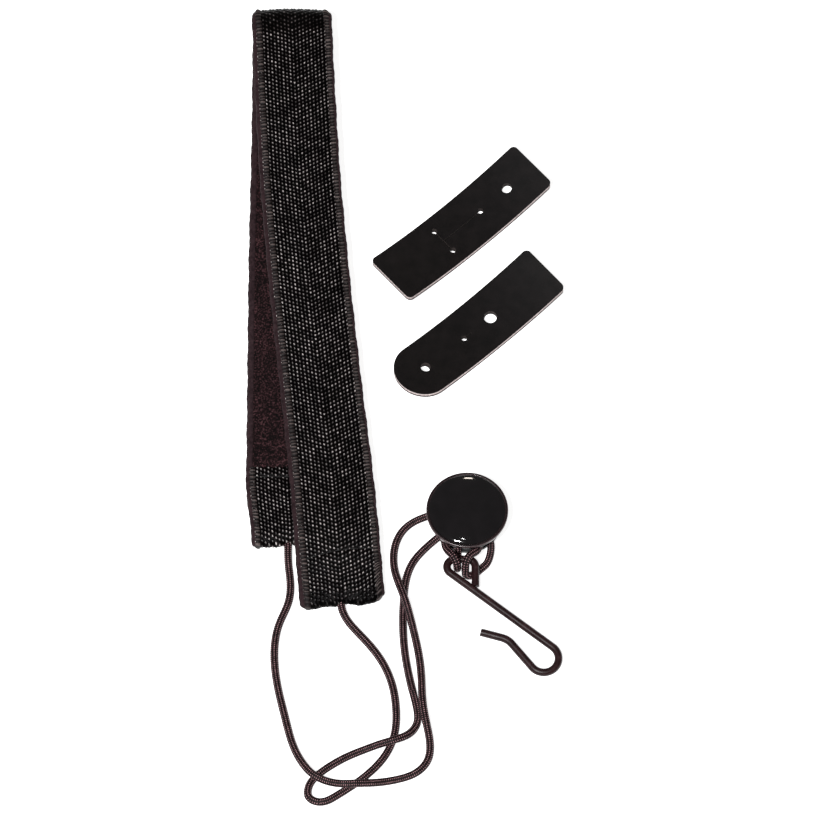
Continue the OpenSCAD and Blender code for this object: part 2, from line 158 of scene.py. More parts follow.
class Paint:
    """A Principled material and short ways to add nodes to it."""

    def __init__(self, name, **sockets):
        self.material = bpy.data.materials.new(name)
        self.material.use_nodes = True
        self.nodes = self.material.node_tree.nodes
        self.links = self.material.node_tree.links
        self.shader = self.nodes["Principled BSDF"]
        for key, value in sockets.items():
            self.shader.inputs[key.replace("_", " ")].default_value = value

    def add(self, kind, inputs=(), **settings):
        node = self.nodes.new(kind)
        for key, value in settings.items():
            setattr(node, key, value)
        for key, value in dict(inputs).items():
            if hasattr(value, "is_output"):
                self.links.new(value, node.inputs[key])
            else:
                node.inputs[key].default_value = value
        return node

    def place(self, stretch=(1, 1, 1)):
        found = self.add("ShaderNodeTexCoord").outputs["Object"]
        return self.add("ShaderNodeMapping", {"Vector": found, "Scale": stretch}).outputs["Vector"]

    def noise(self, scale, detail=3, stretch=(1, 1, 1)):
        inputs = {"Vector": self.place(stretch), "Scale": scale, "Detail": detail}
        return self.add("ShaderNodeTexNoise", inputs).outputs["Fac"]

    def attribute(self, name):
        return self.add("ShaderNodeAttribute", attribute_name=name).outputs["Fac"]

    def ramp(self, value, *stops):
        node = self.add("ShaderNodeValToRGB", {"Fac": value})
        while len(node.color_ramp.elements) < len(stops):
            node.color_ramp.elements.new(0.5)
        for element, (at, colour) in zip(node.color_ramp.elements, stops):
            element.position = at
            grey = isinstance(colour, (int, float))
            element.color = (colour, colour, colour, 1) if grey else (*colour, 1)
        return node.outputs["Color"]

    def maths(self, operation, a, b):
        return self.add("ShaderNodeMath", {0: a, 1: b}, operation=operation).outputs[0]

    def mix(self, amount, a, b, blend="MIX"):
        node = self.add("ShaderNodeMix", data_type="RGBA", blend_type=blend)
        for socket, value in ((0, amount), (6, a), (7, b)):
            if hasattr(value, "is_output"):
                self.links.new(value, node.inputs[socket])
            else:
                node.inputs[socket].default_value = value if socket == 0 else (*value, 1)
        return node.outputs[2]

    def bump(self, height, distance, strength=1):
        inputs = {"Height": height, "Distance": distance, "Strength": strength}
        self.give("Normal", self.add("ShaderNodeBump", inputs).outputs["Normal"])

    def give(self, socket, value):
        self.links.new(value, self.shader.inputs[socket])


def paint(piece, material):
    piece.data.materials.clear()
    piece.data.materials.append(material)


def webbing_material():
    p = Paint("webbing_weave")
    height = p.attribute("height")
    tone = p.attribute("tone")
    # painted highlight and shade: the floats' tops are painted pale as glints and the grooves near black as
    # shade, by height
    yarn_with_painted_glint = p.ramp(height, (0.0, 0.0006), (0.38, (0.0055, 0.004, 0.004)), (0.6, (0.075, 0.064, 0.063)),
                  (0.88, (0.6, 0.54, 0.53)))
    varied = p.mix(1.0, yarn_with_painted_glint, p.ramp(tone, (0.0, 0.45), (1.0, 1.1)), "MULTIPLY")
    patches = p.ramp(p.noise(90, 2), (0.3, 0.6), (0.7, 1.1))
    p.give("Base Color", p.mix(1.0, varied, patches, "MULTIPLY"))
    p.give("Specular IOR Level", p.ramp(height, (0.35, 0.03), (0.75, 0.5)))
    p.give("Roughness", p.ramp(p.noise(1500, 2), (0.3, 0.28), (0.7, 0.4)))
    p.bump(p.noise(5200, 2, (1, 0.4, 1)), 0.00012, 0.6)
    return p.material


def edge_material():
    p = Paint("overcast_edge", Specular_IOR_Level=0.15)
    height = p.attribute("height")
    roll = p.attribute("roll")
    # painted highlight on the rib crests and painted shade in the grooves between them, by height
    ribs = p.ramp(height, (0.0, (0.002, 0.0013, 0.0014)), (0.5, (0.014, 0.01, 0.01)),
                  (1.0, (0.15, 0.118, 0.112)))
    binding = p.ramp(p.noise(900, 3), (0.3, (0.013, 0.006, 0.0075)), (0.7, (0.036, 0.019, 0.022)))
    p.give("Base Color", p.mix(roll, ribs, binding))
    p.give("Roughness", p.ramp(roll, (0.0, 0.5), (1.0, 0.85)))
    p.bump(p.noise(4200, 3), 0.00015, 0.6)
    return p.material


def suede_material():
    p = Paint("suede_lining", Roughness=0.95, IOR=1.4, Specular_IOR_Level=0.25)
    broad = p.noise(260, 3)
    fine = p.noise(1900, 4)
    nap = p.ramp(fine, (0.38, (0.0012, 0.0005, 0.0006)), (0.52, (0.0125, 0.0044, 0.0052)),
                 (0.66, (0.07, 0.03, 0.034)))
    p.give("Base Color", p.mix(1.0, nap, p.ramp(broad, (0.35, 0.6), (0.65, 1.25)), "MULTIPLY"))
    p.bump(p.maths("ADD", fine, p.noise(5200, 2)), 0.0003, 0.8)
    return p.material


def cord_material():
    p = Paint("braided_cord", Specular_IOR_Level=0.12)
    height = p.attribute("height")
    tone = p.attribute("tone")
    # painted highlight on the braid's specks and painted shade between the strands, by height
    braid = p.ramp(height, (0.0, (0.002, 0.001, 0.0012)), (0.34, (0.01, 0.0048, 0.0055)),
                   (0.58, (0.045, 0.02, 0.0225)), (0.84, (0.43, 0.25, 0.265)))
    p.give("Base Color", p.mix(1.0, braid, p.ramp(tone, (0.0, 0.6), (1.0, 1.2)), "MULTIPLY"))
    p.give("Roughness", p.ramp(p.noise(1200, 2), (0.3, 0.45), (0.7, 0.65)))
    p.bump(p.noise(6000, 2), 0.00008, 0.5)
    return p.material


def thread_material():
    p = Paint("sewing_thread", Specular_IOR_Level=0.2)
    p.give("Base Color", p.ramp(p.noise(3000, 2), (0.3, 0.004), (0.7, 0.02)))
    p.give("Roughness", p.ramp(p.noise(2500, 2), (0.3, 0.45), (0.7, 0.7)))
    return p.material


def plastic_material(name, colour, rough, coat):
    """Plastic or resin, with rough the lowest roughness and coat the weight of a clear coat."""
    p = Paint(name, IOR=1.5, Coat_Weight=coat, Coat_Roughness=0.04)
    faint = p.noise(220, 4)
    low, high = [tuple(k * c for c in colour) for k in (0.8, 1.25)]
    p.give("Base Color", p.ramp(faint, (0.35, low), (0.65, high)))
    p.give("Roughness", p.ramp(p.noise(650, 5), (0.3, rough), (0.75, rough * 1.7)))
    p.bump(p.noise(1600, 3), 0.00002, 0.25 if coat else 0.7)
    return p.material


def cap_material():
    """Polished plastic, with a painted highlight: pale in patches along the rim's outer edge."""
    p = Paint("cap_plastic", IOR=1.5)
    found = p.add("ShaderNodeTexCoord").outputs["Object"]
    height = p.add("ShaderNodeSeparateXYZ", {"Vector": found}).outputs["Z"]
    edge = p.maths("DIVIDE", p.maths("SUBTRACT", height, RIM_GLINT_FROM), RIM_GLINT_DEEP)
    # painted highlight: a pale band high on the rim's outer rounding, broken into patches by noise
    paleness = p.maths("MULTIPLY", p.ramp(edge, (0.35, 0), (0.62, 1), (0.94, 1), (0.98, 0)),
                   p.ramp(p.noise(300, 3), (0.3, 0.5), (0.6, 1)))
    plain = p.ramp(p.noise(220, 4), (0.35, (0.007, 0.0035, 0.0042)), (0.65, (0.011, 0.006, 0.007)))
    p.give("Base Color", p.mix(paleness, plain, (0.08, 0.05, 0.053)))
    p.give("Roughness", p.ramp(p.noise(650, 5), (0.3, 0.24), (0.75, 0.36)))
    return p.material


def steel_material():
    p = Paint("plain_steel", Metallic=1.0)
    scratches = p.noise(900, 4, (1, 1, 0.08))
    p.give("Base Color", p.ramp(scratches, (0.3, 0.42), (0.7, 0.6)))
    p.give("Roughness", p.ramp(scratches, (0.3, 0.24), (0.7, 0.4)))
    return p.material


def lacquer_material():
    p = Paint("hook_lacquer", Specular_IOR_Level=0.2)
    # paleness here marks worn patches of the lacquer
    paleness = p.noise(420, 5)
    p.give("Base Color", p.ramp(paleness, (0.3, (0.01, 0.003, 0.0036)), (0.6, (0.02, 0.0075, 0.0085)),
                                (0.8, (0.042, 0.019, 0.02))))
    p.give("Roughness", p.ramp(p.noise(900, 4), (0.3, 0.34), (0.75, 0.48)))
    p.bump(p.noise(1300, 3), 0.00005, 0.4)
    return p.material


def leather_material(name, at, degrees):
    """Leather with black grain on top, a pale cut edge and a dark flesh side, for a tab lying at a place;
    the cut edge is painted dark as shade along its lower half and inside the holes.
    """
    p = Paint(name, Specular_IOR_Level=0.22)
    normal = p.add("ShaderNodeNewGeometry").outputs["Normal"]
    up = p.add("ShaderNodeSeparateXYZ", {"Vector": normal}).outputs["Z"]
    own = p.add("ShaderNodeMapping", {
        "Vector": p.add("ShaderNodeTexCoord").outputs["Object"],
        "Location": (at[0] * MM, at[1] * MM, 0), "Rotation": (0, 0, math.radians(degrees)),
    }, vector_type="TEXTURE").outputs["Vector"]
    own = p.add("ShaderNodeSeparateXYZ", {"Vector": own}).outputs
    curl = p.maths("MULTIPLY", p.maths("MULTIPLY", own["X"], own["X"]), 1 / (2 * CURL_R * MM))
    fibre = p.noise(1500, 4, (1, 1, 0.5))
    layer = p.maths("DIVIDE", p.maths("SUBTRACT", own["Z"], curl), TAB_T * MM)
    layer = p.maths("ADD", layer, p.maths("MULTIPLY", fibre, 0.16))
    grain = p.add("ShaderNodeTexVoronoi", {"Vector": p.place(), "Scale": 1500.0}).outputs["Distance"]
    top = p.ramp(p.noise(300, 4), (0.3, (0.0022, 0.0016, 0.0017)), (0.7, (0.006, 0.0045, 0.0046)))
    # cut edge by height in the leather: painted dark as shade in its lower half, pale above, dark at the top
    # where the grain is dyed
    cut = p.ramp(layer, (0.2, (0.035, 0.024, 0.023)), (0.46, (0.07, 0.05, 0.048)), (0.56, (0.5, 0.41, 0.4)),
                 (0.9, (0.72, 0.62, 0.61)), (1.0, (0.02, 0.015, 0.015)))
    varied = p.mix(1.0, cut, p.ramp(fibre, (0.3, 0.6), (0.7, 1.1)), "MULTIPLY")
    flesh = p.ramp(fibre, (0.3, (0.05, 0.04, 0.036)), (0.7, (0.12, 0.1, 0.09)))
    # inside the holes and slits the cut edge is painted darker as shade
    inside = p.maths("MULTIPLY", p.maths("LESS_THAN", p.maths("ABSOLUTE", own["X"], 0), HOLES_WITHIN[0]),
                     p.maths("LESS_THAN", p.maths("ABSOLUTE", own["Y"], 0), HOLES_WITHIN[1]))
    varied = p.mix(inside, varied, p.ramp(layer, (0.2, (0.01, 0.007, 0.007)), (0.9, (0.05, 0.038, 0.036))))
    sides = p.mix(p.ramp(up, (0.72, 0), (0.86, 1)), varied, top)
    p.give("Base Color", p.mix(p.ramp(p.maths("MULTIPLY", up, -1.0), (0.6, 0), (0.85, 1)), sides, flesh))
    p.give("Roughness", p.ramp(up, (0.7, 0.9), (0.88, 0.45)))
    p.bump(p.maths("ADD", p.maths("MULTIPLY", grain, 0.4), p.noise(2600, 3)), 0.00006, 0.35)
    return p.material


CURL_R, TAB_T = 130, 2.2
HOLES_WITHIN = (0.025, 0.006)
# height in m where the cap's painted rim highlight band starts, and the span it is spread over
RIM_GLINT_FROM, RIM_GLINT_DEEP = 0.0082, 0.0008
WEBBING, EDGE, SUEDE = webbing_material(), edge_material(), suede_material()
CORD, THREAD, STEEL = cord_material(), thread_material(), steel_material()
BASE_PLASTIC = plastic_material("base_plastic", (0.012, 0.011, 0.012), 0.38, 0)
CAP_PLASTIC = cap_material()
DOME_RESIN = plastic_material("dome_resin", (0.0045, 0.0035, 0.004), 0.06, 0.8)
LACQUER = lacquer_material()
TAB_1 = leather_material("leather_slotted", (16.7, 39.6), 42)
TAB_2 = leather_material("leather_round", (20.3, 3.6), 41.5)


# ---------- cords ----------

CORD_D = 2.4
STRANDS, BRAID_ROW = 8, 0.62
KNOT_AT, KNOT_LONG, KNOT_WIDER, KNOT_TALLER = 1.2, 1.7, 1.3, 0.2
STEP = 0.1
REAR_ROUTE = [
    (-36.5, -69.75, 2.5), (-36.4, -74.3, 1.6), (-35.8, -80, 1.2), (-36.2, -87, 1.2),
    (-39, -94.5, 1.2), (-40.4, -105, 1.2), (-39.3, -115, 1.2), (-37, -125, 1.2),
    (-34.2, -135, 1.5), (-31.5, -140.5, 2.6), (-28, -144.7, 3.7), (-21.5, -147.2, 3.6),
    (-16, -147.3, 3.7), (-9.5, -146.5, 2.3), (-3, -145, 1.2), (2.5, -142.8, 1.2),
    (5.8, -139, 1.2), (6.6, -134, 1.4), (5.6, -128, 2.9), (4.6, -122.5, 3.6),
    (4.2, -117, 2.7), (3.9, -110, 1.3), (2.9, -102.5, 1.2), (1.6, -96.5, 1.6),
    (0, -90.5, 3.2), (-1.4, -86, 3.7), (-3.2, -80.5, 2.7), (-4.3, -75, 1.3),
    (-3.6, -67.5, 1.2), (-0.6, -62.5, 1.2), (3.6, -59.8, 1.4), (7, -58.7, 2.2),
]
FRONT_ROUTE = [
    (-20, -89.9, 2), (-18.6, -93, 1.5), (-15.6, -96.8, 1.2), (-11.7, -101.3, 1.2),
    (-8, -106.6, 1.2), (-4.9, -114, 1.2), (-3.6, -122.6, 1.2), (-4, -130, 1.2),
    (-6.8, -137.2, 1.2), (-11.6, -142.9, 1.2), (-16.6, -147, 1.2), (-21.6, -150.4, 1.2),
    (-26.4, -152.3, 1.2), (-29.6, -150.8, 1.2), (-29.7, -147.3, 1.2), (-27.4, -143.9, 1.2),
    (-23.6, -140.9, 1.2), (-18.6, -137.9, 1.2), (-12.6, -135.4, 1.6), (-7.6, -134.1, 3.1),
    (-2.6, -132.7, 3.6), (1, -130, 2), (2.8, -126.4, 1.2), (2.7, -122.5, 1.2),
    (1.4, -116.5, 1.2), (0, -110, 1.2), (-1, -103.5, 1.2), (-1.5, -96.5, 1.2),
    (-1.5, -90, 1.2), (-1.2, -84.5, 1.2), (-0.4, -79, 1.2), (1.6, -74, 1.2),
    (4.8, -70, 1.3), (9, -66.4, 2.2),
]
ADJUSTER_ROUTE = [
    (7.45, -58.55, 2.4), (9.4, -58.4, 3), (11.4, -59.7, 4), (12.3, -62.2, 5),
    (12, -65.6, 5.2), (11.2, -69.2, 5.2), (11.6, -71.2, 5.4), (12.6, -72.9, 6.1),
    (13.8, -74.5, 6.7), (14.7, -76.2, 6.1), (15, -77, 4), (15, -76.3, 2),
    (15, -74.3, 1.25), (15.1, -72.4, 1.6), (15.1, -70, 2.2), (15.1, -68.2, 3),
    (15.1, -66.2, 4.4), (14.9, -63, 5.2), (15, -60, 5.2), (16.2, -57.7, 5.2),
    (18, -56.9, 5.2), (19.8, -57.7, 5.2), (21, -60, 5.2), (21.5, -65, 5.2),
    (22.1, -68.4, 5.2), (21.6, -70.3, 5.2), (21, -71.9, 5.4), (20.1, -72.95, 6),
    (18.9, -74, 6.6), (18, -75.3, 6.7), (17.5, -76.8, 5.9), (17.4, -77.9, 4.2),
    (17.7, -78.7, 2.2), (19.4, -78.4, 1.2), (21.6, -76.8, 1.2), (23.7, -74.8, 1.2),
    (25, -71.6, 1.6), (25.2, -68.6, 2.2), (24.1, -65.8, 2.3), (21.6, -64.6, 2.3),
    (18, -63.8, 2.3), (14.6, -63.9, 2.3), (11.6, -64.8, 2.3), (9.4, -66.1, 2.3),
]


def braid(name, line, knot_at_start=False):
    """A braided cord round a line of points in mm, as rings of two crossing sets of strands."""
    s = along(line)[:, None]
    turn = np.linspace(0, 2 * math.pi, 48, endpoint=False)[None, :]
    rise = 2 * math.pi * s / BRAID_ROW
    one, two = STRANDS * turn + rise, STRANDS * turn - rise
    over = 0.5 + 0.5 * np.cos(one) * np.cos(two)
    # speck: small raised dots on the strands, which the cord material also paints pale as highlights
    speck = np.clip(0.5 + 0.5 * np.cos(STRANDS * turn), 0, 1) * np.clip(0.5 + 0.5 * np.cos(rise), 0, 1)
    height = np.clip(0.35 * over + 0.75 * speck, 0, 1)
    tone = 0.5 + 0.28 * np.sin(0.9 * s + 2 * turn) + 0.22 * np.sin(2.3 * s - turn)
    r = CORD_D / 2 * (0.95 + 0.09 * height + 0.012 * np.sin(0.31 * s + 1.3))
    knot = knot_at_start * np.exp(-((s - KNOT_AT) / KNOT_LONG) ** 2)
    side, up = frames(line)
    rings = (line[:, None, :] + ((r + KNOT_WIDER * knot) * np.cos(turn))[..., None] * side[:, None, :]
             + ((r + KNOT_TALLER * knot) * np.sin(turn))[..., None] * up[:, None, :])
    piece = build(name, rings, [("height", height), ("tone", tone * np.ones_like(height))])
    paint(piece, CORD)
    return piece


def cut(line, k):
    """The line in two, at its point nearest to k in mm."""
    i = int(np.argmin(np.linalg.norm(line - np.array(k), axis=1)))
    return line[:i + 1], line[i:]


rear_line = smooth([(-36.5, -63.5, 2.3), (-36.5, -67, 2.3)] + REAR_ROUTE + ADJUSTER_ROUTE[:1], STEP)
knot_low, knot_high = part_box("cord_knot_front")
front_knot = np.array((knot_low + knot_high) / 2 / MM) + (0.15, 1.5, 0)
front_line = smooth([tuple(front_knot)] + FRONT_ROUTE + ADJUSTER_ROUTE[-1:], STEP)
rear_low, rear_high = cut(rear_line, (5.6, -128, 2.9))
front_low, front_rest = cut(front_line, (-26.4, -152.3, 1.2))
front_mid, front_high = cut(front_rest, (1.4, -116.5, 1.2))

piece = braid("cord_rear_lower", rear_low, True)
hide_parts("cord_rear_run", "cord_knot_rear")
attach(piece, "root")
piece = braid("cord_rear_upper", rear_high)
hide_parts("cord_rear_run")
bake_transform(piece)
piece = braid("cord_front_lower", front_low, True)
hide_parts("cord_front_run", "cord_knot_front")
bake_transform(piece)
piece = braid("cord_front_middle", front_mid)
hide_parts("cord_front_run")
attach(piece, "root")
piece = braid("cord_front_upper", front_high)
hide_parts("cord_front_run")
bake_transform(piece)
piece = braid("cord_adjuster_loops", smooth(ADJUSTER_ROUTE, STEP))
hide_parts("cord_hook_loops", "cord_in_adjuster")
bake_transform(piece)


# ---------- band ----------

FOLD_Y, REAR_END, TIP_Y = 107.5, -69.5, -90.0
REAR_X = -36.5
SKEW = math.radians(4.79)
HALF_T, FOLD_R, HEM_R, HEM_LONG = 0.8, 5.0, 1.7, 3.6
HEM_MIDDLE, HEM_TOP = 2.5, 4.2
REAR_TUCKED, FRONT_TUCKED = 25.5, 18
ROW = 0.24
WEB_HALF, WEB_SIDE = 11.3, 11.42
FLOAT_LOW, FLOAT_HIGH = 0.2, 0.36
PITCH_U, PITCH_S, SLANT = 1.13, 1.32, 0.37
RIB_PITCH = 1.12
EDGE_DEEP, EDGE_IN_HEM = 2.15, 0.62
LINING_BACK, THREAD_R = 2.0, 0.19
STITCHES, STITCH_HALF, STITCH_PITCH = 9, 0.95, 2.35
REAR_SEAM, SEAM_BACK, SEAM_BEND = 3.0, 13.5, 0.012
LINING_REAR, LINING_FRONT = 17.5, 9.5


def arc(y, z, long, r, start, end):
    """Part of an ellipse round (y, z), long along the band and r high, from start to end in degrees."""
    a = np.radians(np.linspace(start, end, 60))
    return np.stack([y + long * np.cos(a), z + r * np.sin(a)], axis=1)


front_rise = smooth([
    (FOLD_Y, 10.8, 0), (60, 9.95, 0), (10, 8.85, 0), (-30, 7.75, 0), (-48, 7.5, 0),
    (-66, 7.45, 0), (-75, 6.3, 0), (-81, 4.9, 0), (TIP_Y + HEM_LONG, HEM_TOP, 0),
], 0.5)[:, :2]
rear_hem, front_hem = REAR_END + HALF_T + HEM_LONG, TIP_Y + HALF_T + HEM_LONG
front_rise[-1, 0] = front_hem
# each stretch of the band as (y, z) points, with how far it belongs to the front leg at its start and end
legs = [
    (np.array([[REAR_END + REAR_TUCKED, HEM_TOP], [rear_hem, HEM_TOP]]), 0, 0),
    (arc(rear_hem, HEM_MIDDLE, HEM_LONG, HEM_R, 90, 270), 0, 0),
    (np.array([[rear_hem, HALF_T], [FOLD_Y, HALF_T]]), 0, 0),
    (arc(FOLD_Y, FOLD_R + HALF_T, FOLD_R, FOLD_R, -90, 90), 0, 1),
    (front_rise, 1, 1),
    (arc(front_hem, HEM_MIDDLE, HEM_LONG, HEM_R, 90, 270), 1, 1),
    (np.array([[front_hem, HALF_T], [TIP_Y + FRONT_TUCKED, HALF_T]]), 1, 1),
]
track = np.vstack([np.column_stack([p, np.linspace(a, b, len(p))]) for p, a, b in legs])
moved = np.linalg.norm(np.diff(track[:, :2], axis=0), axis=1) > 1e-9
track = evenly(track[np.concatenate([[True], moved])], ROW)
# per row: distance along the band, the two coordinates, and 0 on the rear leg to 1 on the front leg
S = along(track[:, :2])
Y, Z, Q = track.T
marks = np.cumsum([0] + [along(p)[-1] for p, _, _ in legs])
S_HEM_REAR, S_REAR, S_ARC, S_FRONT, S_TIP, S_UNDER = marks[1:7]
# distance down the front leg, then the sideways bow of that leg and the lean of the rear one
F = np.where(Q >= 0.999, FOLD_Y - Y, 0)
bow = np.interp(F, [0, 20, 55, 93, 127, 154, 180, 200], [0, -0.8, -1.7, -1.5, -0.7, 0.1, 0.2, 0.3])
WINDOW = np.hanning(121)
bow = np.convolve(np.pad(bow, len(WINDOW) // 2, "edge"), WINDOW / WINDOW.sum(), "valid")
lean = (1.2 * ease((-46 - Y) / 24) - 0.5 * ease((80 - Y) / 60)) * (Q < 0.001)
ANGLE = Q * SKEW
CENTRE = np.column_stack([
    REAR_X + (FOLD_Y - Y) * np.sin(ANGLE) + bow * (Q > 0.999) + lean,
    FOLD_Y - (FOLD_Y - Y) * np.cos(ANGLE),
    Z,
])
TURNED = SKEW * ease((S - S_ARC - 10) / 14)
LATERAL = np.column_stack([np.cos(TURNED), np.sin(TURNED), np.zeros_like(Z)])
direction = unit(np.gradient(np.column_stack([Y, Z]), axis=0))
FORWARD = np.column_stack([-np.sin(ANGLE), np.cos(ANGLE), np.zeros_like(Z)])
OUT = direction[:, 1:] * FORWARD + np.array([0, 0, 1]) * -direction[:, :1]
WIDTH = 1 - 0.06 * ease((-48 - Y) / 20) * (Q < 0.001) + 0.03 * ease((F - 120) / 60)


def wander(s, u):
    """Low uneven waves of soft cloth, from -1 to 1."""
    return (0.4 * np.sin(0.083 * s + 0.11 * u + 0.7) + 0.3 * np.sin(0.19 * s - 0.23 * u + 2.1)
            + 0.3 * np.sin(0.47 * s + 0.31 * u + 4.0) * np.cos(0.2 * u))


def near(s, at, width):
    """A bump of height 1 at a place."""
    return np.exp(-((s - at) / width) ** 2)


def within(s, start, end):
    """1 between start and end, with soft ends."""
    return ease((s - start + 1) / 2) * ease((end - s + 1) / 2)


def swell(s, u):
    """How far the band bulges outwards at s along it and u across it."""
    out = 0.16 * wander(s, u)
    rear_knot = near(s, S_HEM_REAR - 3.5, 5) * near(u, 0, 6)
    front_knot = near(s, S_TIP - 3.5, 5) * near(u, 0, 6)
    out = out + 0.35 * (rear_knot + front_knot)
    seam = S_TIP - SEAM_BACK + SEAM_BEND * (u - 4) ** 2
    out = out - 0.25 * near(s, seam, 0.4) * ease((9.6 - np.abs(u - 1)) / 4)
    out = out + 0.25 * ease((s - seam) / 2) * ease((S_TIP + 2 - s) / 3)
    return out - 0.3 * near(s, REAR_SEAM, 0.5) * ease((10.5 - np.abs(u)) / 2)


def drift(s, u):
    """The uneven ends of the hems and the domed fold, as a shift towards the fold."""
    front = ease((s - (S_TIP - 12)) / 10) * ease((S_UNDER + 6 - s) / 8)
    rear = ease((S_REAR + 4 - s) / 6) * ease((s - (S_HEM_REAR - 12)) / 10)
    front = front * (0.5 * near(u, -0.3, 2.6) + 0.1 * ease(-u / 9) + 0.25 * np.sin(0.9 * u)
                     + 3.0 * ease((u - 9) / 3.6) + 0.7 * ease((-u - 10.8) / 1.8))
    rear = rear * (0.7 * near(u, 0, 2.6) + 0.02 * u + 0.6 * ease((np.abs(u) - 10) / 3))
    dome = near(s, S_ARC + 10, 6) * (0.8 - 0.0075 * u * u - 0.8 * ease((np.abs(u) - 10.8) / 1.8)
                                     + 0.08 * np.sin(2.7 * u))
    return front + rear + dome


def place(rows, u, n):
    """Points of the band: u across it and n outwards from its middle, both [row, corner]."""
    s = S[rows][:, None]
    half = u * WIDTH[rows][:, None]
    flat = FORWARD[rows][:, None, :] * drift(s, u)[..., None]
    n = n + swell(s, u)
    return (CENTRE[rows][:, None, :] + half[..., None] * LATERAL[rows][:, None, :]
            + n[..., None] * OUT[rows][:, None, :] + flat)


def floats(s, u):
    """Height of the herringbone's floats, 0 to 1, and a tone for each float."""
    column = np.round(u / PITCH_U)
    phase = s / PITCH_S + SLANT * np.abs(u) / PITCH_U + 0.05 * np.sin(0.35 * s + column)
    across = np.clip(0.5 + 0.5 * np.cos(2 * math.pi * (u / PITCH_U - column)), 0, 1)
    lengthwise = 0.5 + 0.5 * np.cos(2 * math.pi * phase)
    seed = np.sin(column * 12.9898 + np.round(phase) * 78.233) * 43758.5453
    tone = seed - np.floor(seed)
    # on the hem rolls and the fold the floats are lower: flatter there, and through the colour ramp painted
    # darker as shade
    roll = (within(s, S_REAR + 0.5, S_HEM_REAR) + within(s, S_TIP, S_UNDER)
            + within(s, S_ARC + 5.5, S_FRONT + 3.5))
    height = across**0.8 * lengthwise**0.9 * (1 - 0.3 * roll)
    return height * (0.72 + 0.28 * tone), tone


def webbing(name, first, last):
    """Rows first to last of the woven band, with floats on its outer face."""
    rows = np.arange(first, last)
    outer = np.linspace(-WEB_HALF, WEB_HALF, 97)
    u = np.concatenate([outer, [WEB_SIDE] * 2, np.linspace(11.2, -11.2, 12), [-WEB_SIDE] * 2])
    u = np.broadcast_to(u, (len(rows), len(u)))
    height, tone = floats(S[rows][:, None], u)
    face = np.arange(u.shape[1]) < len(outer)
    height = np.where(face, height, 0.3)
    tone = np.where(face, tone, 0.4)
    n = np.where(face, HALF_T - FLOAT_LOW + FLOAT_HIGH * height, -HALF_T + 0.02)
    n[:, len(outer):len(outer) + 2] = [HALF_T / 2, -HALF_T / 2]
    n[:, -2:] = [-HALF_T / 2, HALF_T / 2]
    piece = build(name, place(rows, u, n), [("height", height), ("tone", tone)])
    paint(piece, WEBBING)
    return piece


def overcast(name, first, last, side, roll_from):
    """The binding and the overcast ribs of one long edge; roll_from is where the plain roll begins."""
    rows = np.arange(first, last)
    s = S[rows][:, None]
    # once round the edge: across, outwards, share of rib, share of plain roll
    section = np.array([
        (9.9, 0.5, 0.3, 0), (10.15, 0.82, 1, 0), (10.5, 1.02, 1, 0), (11.0, 1.08, 1, 0),
        (11.35, 1.02, 1, 0), (11.65, 0.86, 0.7, 0.2), (11.8, 0.72, 0.1, 1), (12.0, 0.78, 0.1, 1),
        (12.25, 0.7, 0.1, 1), (12.45, 0.42, 0.12, 1), (12.56, 0.0, 0.15, 1), (12.56, -0.6, 0.15, 1),
        (12.5, -1.2, 0.12, 1), (12.3, -1.7, 0.1, 1), (11.95, -2.05, 0.1, 1), (11.5, -2.15, 0.1, 1),
        (11.0, -2.1, 0.1, 1), (10.8, -1.7, 0, 1), (10.8, -0.5, 0, 1), (10.2, 0.2, 0, 0),
    ])
    u0, n0, rib, roll = section.T
    shift = (roll_from - 11.7) * np.clip((12.56 - u0) / 1.2, 0, 1) * (u0 > 9)
    u = np.broadcast_to(u0 + shift, (len(rows), len(u0)))
    in_hem = ease((S_REAR + 2 - s) / 3) + ease((s - (S_TIP - 1)) / 2)
    deep = EDGE_DEEP - EDGE_IN_HEM * np.clip(in_hem, 0, 1)
    n = np.where(n0 < 0, n0 * deep / EDGE_DEEP, n0)
    wave = 0.5 + 0.5 * np.cos(2 * math.pi * (s / RIB_PITCH + 0.12 * np.sin(0.9 * s)
                                             + 0.08 * np.sin(2.3 * s + side * u0)))
    seed = np.sin(np.round(s / RIB_PITCH) * 91.7 + side * 11.3) * 4373.1
    chance = seed - np.floor(seed)
    n = n + rib * (0.34 * wave * (0.7 + 0.5 * chance) - 0.18)
    u = (u + rib * 0.10 * (wave - 0.5) + 0.10 * np.sin(0.53 * s + side) * (u0 > 11.5)
         + 0.05 * np.sin(2.1 * s) * (u0 > 12))
    height = rib * wave * (0.6 + 0.4 * chance) + (1 - rib) * 0.25
    attributes = [("height", height), ("roll", np.broadcast_to(roll, height.shape))]
    piece = build(name, place(rows, u * side, n), attributes)
    paint(piece, EDGE)
    return piece


def lining(name, first, last):
    """The suede on the inner face, from the webbing's back to LINING_BACK inwards."""
    rows = np.arange(first, last, 2)
    across = np.linspace(-WEB_HALF, WEB_HALF, 76)
    u = np.concatenate([across, across[::-1]])
    u = np.broadcast_to(u, (len(rows), len(u)))
    inside = np.arange(u.shape[1]) < len(across)
    s = S[rows][:, None]
    nap = 0.035 * (np.sin(5.1 * s + 3.3 * u) * np.sin(4.3 * u - 2.2 * s + 1)
                   + 0.6 * np.sin(9.7 * u + 7.9 * s))
    n = np.where(inside, nap - LINING_BACK, -HALF_T)
    piece = build(name, place(rows, u, n))
    paint(piece, SUEDE)
    return piece


